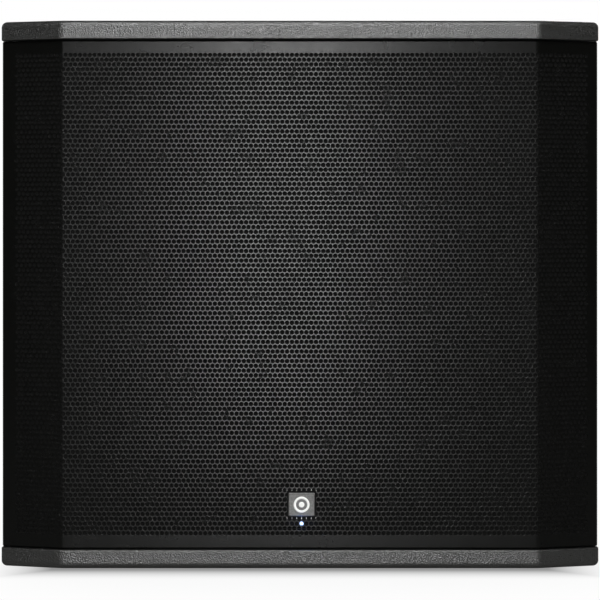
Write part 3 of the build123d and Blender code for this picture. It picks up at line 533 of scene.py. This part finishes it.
    for row in range((HALF_COLUMNS + 1) % 2, ROWS, 2):  # the ends of the shorter rows
        for i in (-spread, spread - 1):
            for j in (2 * row - 1, 2 * row):
                both([[grid(i, j), grid(i + 1, j), grid(i + 1, j + 1), grid(i, j + 1)]])
    solid = list(range(extra)) + list(range(columns - extra - 1, columns - 1))
    r, c = np.meshgrid(np.arange(rows - 1), solid)
    corner = (r * columns + c).ravel()
    both(np.stack([corner, corner + 1, corner + columns + 1, corner + columns], 1))
    r = np.arange(rows - 1) * columns
    add(np.stack([r, r + columns, r + columns + back, r + back], 1))
    r = r + columns - 1
    add(np.stack([r + columns, r, r + back, r + columns + back], 1))

    # Rolled edge and return along the bottom and the top.
    roll, inner = 0.0016, 0.0001
    reach = np.where(np.abs(across) < margin[0] - 0.001, 0.008, 0.0019)
    arc = np.radians([0, 30, 60, 90])
    edges = ((low.z, 1, 0), (high.z, -1, rows - 1))
    for edge_z, direction, row in edges:
        profile = [(roll - roll * sin(a), roll - roll * cos(a), (-sin(a), -cos(a))) for a in arc]
        profile += [(0, None, (-1, 0)), (SHEET, None, (1, 0))]
        profile += [(SHEET, roll, (1, 0)), (roll, SHEET, (0.7, 0.7))]
        lines = [row * columns + np.arange(columns)]
        for rise, depth, (up_tilt, back_tilt) in profile:
            depths = reach if depth is None else np.full(columns, depth)
            tilts.append(np.broadcast_to((0.0, direction * up_tilt, back_tilt), (columns, 3)))
            points.append(np.stack([across, np.full(columns, edge_z + direction * rise), depths], 1))
            lines.append(total + np.arange(columns))
            total += columns
        lines.append(row * columns + np.arange(columns) + back)
        for near, far in zip(lines, lines[1:]):
            quads = np.stack([far[:-1], far[1:], near[1:], near[:-1]], 1)
            add(quads if direction > 0 else quads[:, ::-1])
        cap = np.array([[line[-1] for line in lines]])
        add(cap if direction > 0 else cap[:, ::-1])
        cap = np.array([[line[0] for line in lines]])
        add(cap[:, ::-1] if direction > 0 else cap)

    placed = np.concatenate(points)
    tilts = np.concatenate(tilts)
    # The cut bent the window's teeth: out over its top edge and in under its bottom edge.
    low_edge, high_edge = (first_z + row * ROW_PITCH / 2 for row in WINDOW_ROWS)
    beside = np.abs(placed[:, 0] - MIDDLE) < (WINDOW_COLUMNS[1] + 0.7) * PITCH / 2
    rise = np.clip(1 - (placed[:, 1] - high_edge) / BENT, 0, 1) * (placed[:, 1] > high_edge - 1e-6)
    fall = np.clip(1 - (low_edge - placed[:, 1]) / BENT, 0, 1) * (placed[:, 1] < low_edge + 1e-6)
    placed[:, 2] += beside * (fall**2 - rise**2) * BEND_DEPTH
    x, y = along_sheet(placed[:, 0], placed[:, 2])
    spots = np.stack([x, y, placed[:, 1]], 1)
    tip = placed + tilts * NUDGE
    tip_x, tip_y = along_sheet(tip[:, 0], tip[:, 2])
    facing = ((tip_x - x) / NUDGE, (tip_y - y) / NUDGE, tilts[:, 1])
    sizes, loops = [], []
    for size, arrays in faces.items():
        for array in arrays:
            if len(array):
                sizes.append(np.full(len(array), size))
                loops.append(array.ravel())
    sizes, loops = np.concatenate(sizes), np.concatenate(loops)
    used, loops = np.unique(loops, return_inverse=True)
    mesh = bpy.data.meshes.new("perforated_grille")
    mesh.vertices.add(len(used))
    mesh.vertices.foreach_set("co", spots[used].ravel().astype(np.float32))
    mesh.loops.add(len(loops))
    mesh.loops.foreach_set("vertex_index", loops.astype(np.int32))
    mesh.polygons.add(len(sizes))
    mesh.polygons.foreach_set("loop_start", np.concatenate([[0], np.cumsum(sizes)[:-1]]).astype(np.int32))
    mesh.update(calc_edges=True)
    unwrapped = mesh.uv_layers.new(name="OFBake")
    flat = np.stack([placed[used, 0] / 0.76 + 0.5, placed[used, 1] / 0.76 + 0.1], 1)
    unwrapped.data.foreach_set("uv", flat[loops].ravel().astype(np.float32))
    mesh.shade_smooth()
    mesh.normals_split_custom_set_from_vertices(np.stack(facing, 1)[used])
    return mesh


perforated = piece("perforated_grille", grille_mesh(), LOOKS["grille_coat"])
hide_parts("grille")


# ================================================================ small pieces
def turned_mesh(name, profile, centres, steps=32):
    """Solids turned about lines along Y, from a profile of (radius, y) points."""
    built = bmesh.new()
    for x, z in centres:
        rings = []
        for radius, y in profile:
            if radius == 0:
                rings.append([built.verts.new((x, y, z))] * steps)
            else:
                turns = [2 * pi * i / steps for i in range(steps)]
                spots = [(x + radius * cos(a), y, z + radius * sin(a)) for a in turns]
                rings.append([built.verts.new(spot) for spot in spots])
        for near, far in zip(rings, rings[1:]):
            for i in range(steps):
                corners = [near[i], near[i - 1], far[i - 1], far[i]]
                built.faces.new(list(dict.fromkeys(corners)))
    bmesh.ops.recalc_face_normals(built, faces=built.faces)
    return finished(built, name)


def finished(built, name):
    mesh = bpy.data.meshes.new(name)
    built.to_mesh(mesh)
    built.free()
    mesh.shade_smooth()
    mesh.set_sharp_from_angle(angle=radians(40))
    return mesh


def soften(built, offset, profile=0.5):
    bmesh.ops.bevel(
        built,
        geom=list(built.edges),
        offset=offset,
        segments=2,
        profile=profile,
        affect="EDGES",
        clamp_overlap=True,
    )


def bevelled_blocks(name, blocks, bevel):
    """Boxes with softened edges. Each is its lowest and highest corner, and turns about Y by an angle."""
    built = bmesh.new()
    for low, high, angle in blocks:
        low, high = Vector(low), Vector(high)
        made = bmesh.ops.create_cube(built, size=1)["verts"]
        turn = Matrix.Rotation(angle, 4, "Y")
        shape = Matrix.Diagonal((*(high - low), 1))
        bmesh.ops.transform(built, matrix=Matrix.Translation((low + high) / 2) @ turn @ shape, verts=made)
    soften(built, bevel)
    bmesh.ops.recalc_face_normals(built, faces=built.faces)
    return finished(built, name)


badge_low, badge_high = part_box("badge")
badge_place = ((badge_low.x + badge_high.x) / 2, (badge_low.z + badge_high.z) / 2)
printed_white = grained("printed_white", grey(0.75), grey(0.9), (0.35, 0.5), 0, 900, 0.00003)
sunk = badge_low.y + 0.0001  # behind the badge's face
lift = 0.00035
edge, top = badge_low.y - lift * 0.7, badge_low.y - lift
ring_profile = [(0.0060, sunk), (0.0060, edge), (0.0062, top)]
ring_profile += [(0.0083, top), (0.0085, edge), (0.0085, sunk), (0.0060, sunk)]
mark = turned_mesh("badge_ring", ring_profile, [badge_place], 64)
piece("badge_ring", mark, printed_white)
dot_profile = [(0, sunk), (0.0030, sunk), (0.0030, edge), (0.0027, top)]
dot_profile += [(0.0012, badge_low.y - lift * 1.15), (0, badge_low.y - lift * 1.2)]
piece("badge_dot", turned_mesh("badge_dot", dot_profile, [badge_place], 48), printed_white)


def window_teeth():
    """Tips that the cut left round the window, longer at its bottom edge than at its top, coloured pale as
    a painted highlight.
    """
    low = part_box("grille")[0]
    first_z = low.z + FIRST_ROW
    built = bmesh.new()
    edges = ((WINDOW_ROWS[0], 1, 0.0019, 0.0014), (WINDOW_ROWS[1], -1, 0.0006, -0.0002))
    for row, way, length, lean in edges:
        root_depth = BEND_DEPTH * way
        root_z = first_z + row * ROW_PITCH / 2 - way * 0.0001
        for step in range(WINDOW_COLUMNS[0] // 2, WINDOW_COLUMNS[1] // 2 + 1):
            ends = []
            for z, half, depth, thick in (
                (root_z, 0.00042, root_depth, 0.0014),
                (root_z + way * length, 0.00014, root_depth + lean, 0.0008),
            ):
                corners = ((-half, depth), (half, depth), (half, depth + thick), (-half, depth + thick))
                across = MIDDLE + step * PITCH
                ends.append([built.verts.new((across + dx, low.y + dy, z)) for dx, dy in corners])
            near, far = ends
            built.faces.new(near)
            built.faces.new(far)
            for i in range(4):
                built.faces.new([near[i], near[i - 1], far[i - 1], far[i]])
    bmesh.ops.recalc_face_normals(built, faces=built.faces)
    soften(built, 0.00006, 0.0)
    return finished(built, "window_teeth")


# Painted highlight: the teeth's pale grey stands in for light caught on their bent tips.
teeth_painted_highlight = grained("teeth_painted_highlight", grey(0.6), grey(0.8), (0.4, 0.55), 0.4, 2500, 0.00003, 900)
piece("window_teeth", window_teeth(), teeth_painted_highlight)

# ---------------------------------------------------------------- amplifier's back
plate_low, plate_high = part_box("amp_plate")
plate_face = plate_high.y
jack_z, button_z = 0.450, 0.398
silver = brushed("contact_silver", grey(0.6), grey(0.75), (0.2, 0.3), (900, 60, 900))
input_x, output_x = (0.120, 0.078), (0.036, -0.006)


def around(columns, radius, angles):
    """Places about each socket in the row of sockets, at that radius."""
    return [
        (x + radius * cos(radians(a)), jack_z + radius * sin(radians(a))) for x in columns for a in angles
    ]


pin_places = around(output_x, 0.0045, (90, 210, 330))
pin = [(0, plate_face - 0.0018), (0.0006, plate_face - 0.0018), (0.00115, plate_face - 0.0023)]
pin += [(0.00125, plate_face - 0.003), (0.00125, plate_face - 0.0139), (0, plate_face - 0.0139)]
piece("output_pins", turned_mesh("output_pins", pin, pin_places, 24), silver)
contact_places = around(input_x, 0.0058, (-90, 30, 150))
contact = [(0.0006, plate_face - 0.0139), (0.0006, plate_face - 0.0133), (0.0008, plate_face - 0.0131)]
contact += [(0.0012, plate_face - 0.0131), (0.0014, plate_face - 0.0133), (0.0014, plate_face - 0.0139)]
contact.append(contact[0])
piece("input_contacts", turned_mesh("input_contacts", contact, contact_places, 24), silver)
inlet_low, inlet_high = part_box("iec_inlet")
inlet = ((inlet_low.x + inlet_high.x) / 2, (inlet_low.z + inlet_high.z) / 2)
blades = [
    (
        (inlet[0] + dx - 0.00105, plate_face - 0.0159, inlet[1] + dz - 0.00205),
        (inlet[0] + dx + 0.00105, plate_face - 0.0019, inlet[1] + dz + 0.00205),
        0,
    )
    for dx, dz in ((-0.007, -0.001), (0, 0.003), (0.007, -0.001))
]
piece("inlet_blades", bevelled_blocks("inlet_blades", blades, 0.0004), silver)

lens = [(0, plate_face - 0.001), (0.0016, plate_face - 0.001), (0.0016, plate_face + 0.0004)]
lens += [(0.0013, plate_face + 0.001), (0.0007, plate_face + 0.0014), (0, plate_face + 0.0015)]
for name, x, colour, strength in (
    ("power_lens", 0.120, (0.1, 1.0, 0.2), 3.0),
    ("signal_lens", 0.100, (0.1, 0.8, 0.15), 0.6),
    ("limit_lens", 0.080, (1.0, 0.5, 0.05), 0.25),
    ("protect_lens", 0.060, (1.0, 0.08, 0.05), 0.25),
):
    piece(name, turned_mesh(name, lens, [(x, button_z)], 24), lamp(name, colour, strength))

knobs = {"level_knob": -0.062, "lowpass_knob": -0.116}
ticks = []
for x in knobs.values():
    for step in range(11):
        angle = radians(-150 + 30 * step)
        near, width = (0.0125, 0.00035) if step % 5 else (0.0120, 0.0006)
        middle = (x - 0.0138 * sin(angle), jack_z + 0.0138 * cos(angle))
        half = 0.0138 - near
        ticks.append(
            (
                (middle[0] - width, plate_face - 0.00005, middle[1] - half),
                (middle[0] + width, plate_face + 0.00012, middle[1] + half),
                -angle,
            )
        )
piece("knob_scales", bevelled_blocks("knob_scales", ticks, 0.00004), printed_white)
for name, x in knobs.items():
    low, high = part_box(name)
    inlay_low = (x - 0.00055, high.y - 0.0119, jack_z + 0.0031)
    inlay_high = (x + 0.00055, high.y - 0.0002, jack_z + 0.0079)
    inlay = [(inlay_low, inlay_high, 0)]
    pointer = f"{name}_pointer"
    piece(pointer, bevelled_blocks(pointer, inlay, 0.0001), printed_white, name)


# ================================================================ stage, lights and camera
def floor_look():
    """Pale and plain: white to the camera but for painted soft shade under and close round what stands on
    it.
    """
    look = Look("pale_floor", grey(0.3), 0.7, specular=0.1)
    look.colour(look.noise(3), grey(0.29), grey(0.31))
    parts = look.nodes.new("ShaderNodeSeparateXYZ")
    look.links.new(look.place, parts.inputs[0])
    beside = look.math("SUBTRACT", look.math("ABSOLUTE", parts.outputs["X"]), cad_high.x)
    before = look.math("SUBTRACT", look.math("ABSOLUTE", parts.outputs["Y"]), cad_high.y)
    clear = look.math("MAXIMUM", beside, before)
    # Painted shadow: the glow dims inside the cabinet's footprint and, by occlusion, close round it.
    under = look.math("POWER", look.ranged(clear, 0.03, -0.05, 0, 1), 2.1)
    near = look.nodes.new("ShaderNodeAmbientOcclusion")
    near.inputs["Distance"].default_value = 0.3
    open_air = look.ranged(near.outputs["AO"], 0.5, 1.0, 0.94, 1.0)
    glow = look.nodes.new("ShaderNodeEmission")
    bright = look.math("MULTIPLY", look.ranged(under, 0, 1, 1.0, 0.33), open_air)
    look.links.new(bright, glow.inputs["Strength"])
    path, mix = look.nodes.new("ShaderNodeLightPath"), look.nodes.new("ShaderNodeMixShader")
    look.links.new(path.outputs["Is Camera Ray"], mix.inputs["Fac"])
    look.links.new(look.shader.outputs[0], mix.inputs[1])
    look.links.new(glow.outputs[0], mix.inputs[2])
    look.links.new(mix.outputs[0], look.nodes["Material Output"].inputs["Surface"])
    return look.material


built = bmesh.new()
bmesh.ops.create_grid(built, x_segments=8, y_segments=8, size=30)
floor = bpy.data.objects.new("floor", finished(built, "floor"))
floor.location.z = cad_low.z
floor.data.materials.append(floor_look())
scene.collection.objects.link(floor)

world = bpy.data.worlds.new("studio")
scene.world = world
world.use_nodes = True
nodes, links = world.node_tree.nodes, world.node_tree.links
ambient = nodes["Background"]
ambient.inputs["Color"].default_value = (1, 1, 1, 1)
ambient.inputs["Strength"].default_value = 0.02
seen = nodes.new("ShaderNodeBackground")
seen.inputs["Color"].default_value = (1, 1, 1, 1)
seen.inputs["Strength"].default_value = 1.0
path, mix = nodes.new("ShaderNodeLightPath"), nodes.new("ShaderNodeMixShader")
links.new(path.outputs["Is Camera Ray"], mix.inputs["Fac"])
links.new(ambient.outputs[0], mix.inputs[1])
links.new(seen.outputs[0], mix.inputs[2])
links.new(mix.outputs[0], nodes["World Output"].inputs["Surface"])


def soft_light(name, place, aim, size, power):
    light = bpy.data.lights.new(name, "AREA")
    light.shape = "RECTANGLE"
    light.size, light.size_y = size
    light.energy = power
    lamp_object = bpy.data.objects.new(name, light)
    lamp_object.location = place
    lamp_object.rotation_euler = (Vector(aim) - Vector(place)).to_track_quat("-Z", "Y").to_euler()
    lamp_object.visible_camera = False
    scene.collection.objects.link(lamp_object)


middle = (cad_low + cad_high) / 2
soft_light("key", (-0.03, -2.0, 0.42), (-0.03, FRONT, 0.42), (0.1, 0.8), 15)
soft_light("upper", (0, -1.9, 1.85), (0, FRONT, 0.3), (0.5, 0.2), 24)
soft_light("overhead", (0, -0.85, 1.9), (0, -0.4, 0.4), (0.8, 0.3), 8)
soft_light("front", (-0.5, -4.2, 0.9), tuple(middle), (1.5, 0.8), 1.5)
soft_light("back", (0.5, 3.6, 2.0), tuple(middle), (2.0, 1.2), 45)
soft_light("left", (-3.4, 0.6, 1.5), tuple(middle), (1.2, 1.6), 14)
soft_light("right", (3.4, 1.0, 1.5), tuple(middle), (1.2, 1.6), 12)
glow = bpy.data.lights.new("lamp_glow", "POINT")
glow.color, glow.energy, glow.shadow_soft_size = (0.12, 0.3, 1.0), 0.004, 0.0005
glow_object = bpy.data.objects.new("lamp_glow", glow)
lamp_low, lamp_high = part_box("front_led")
glow_object.location = ((lamp_low.x + lamp_high.x) / 2, lamp_low.y - 0.0022, (lamp_low.z + lamp_high.z) / 2)
scene.collection.objects.link(glow_object)

DISTANCE, LENS, SHIFT = 2.66, 150.0, -0.12
EYE_RISE = 0.0748  # over the middle of the cabinet, so that the shift brings it back into the frame
eye = bpy.data.cameras.new("camera")
eye.lens, eye.sensor_width, eye.shift_y = LENS, 36.0, SHIFT
camera = bpy.data.objects.new("camera", eye)
camera.location = (0, FRONT - DISTANCE, middle.z + EYE_RISE)
camera.rotation_euler = (pi / 2, 0, 0)
scene.collection.objects.link(camera)
scene.camera = camera
scene.view_settings.view_transform = "Standard"
scene.view_settings.look = "None"

bpy.context.view_layer.update()
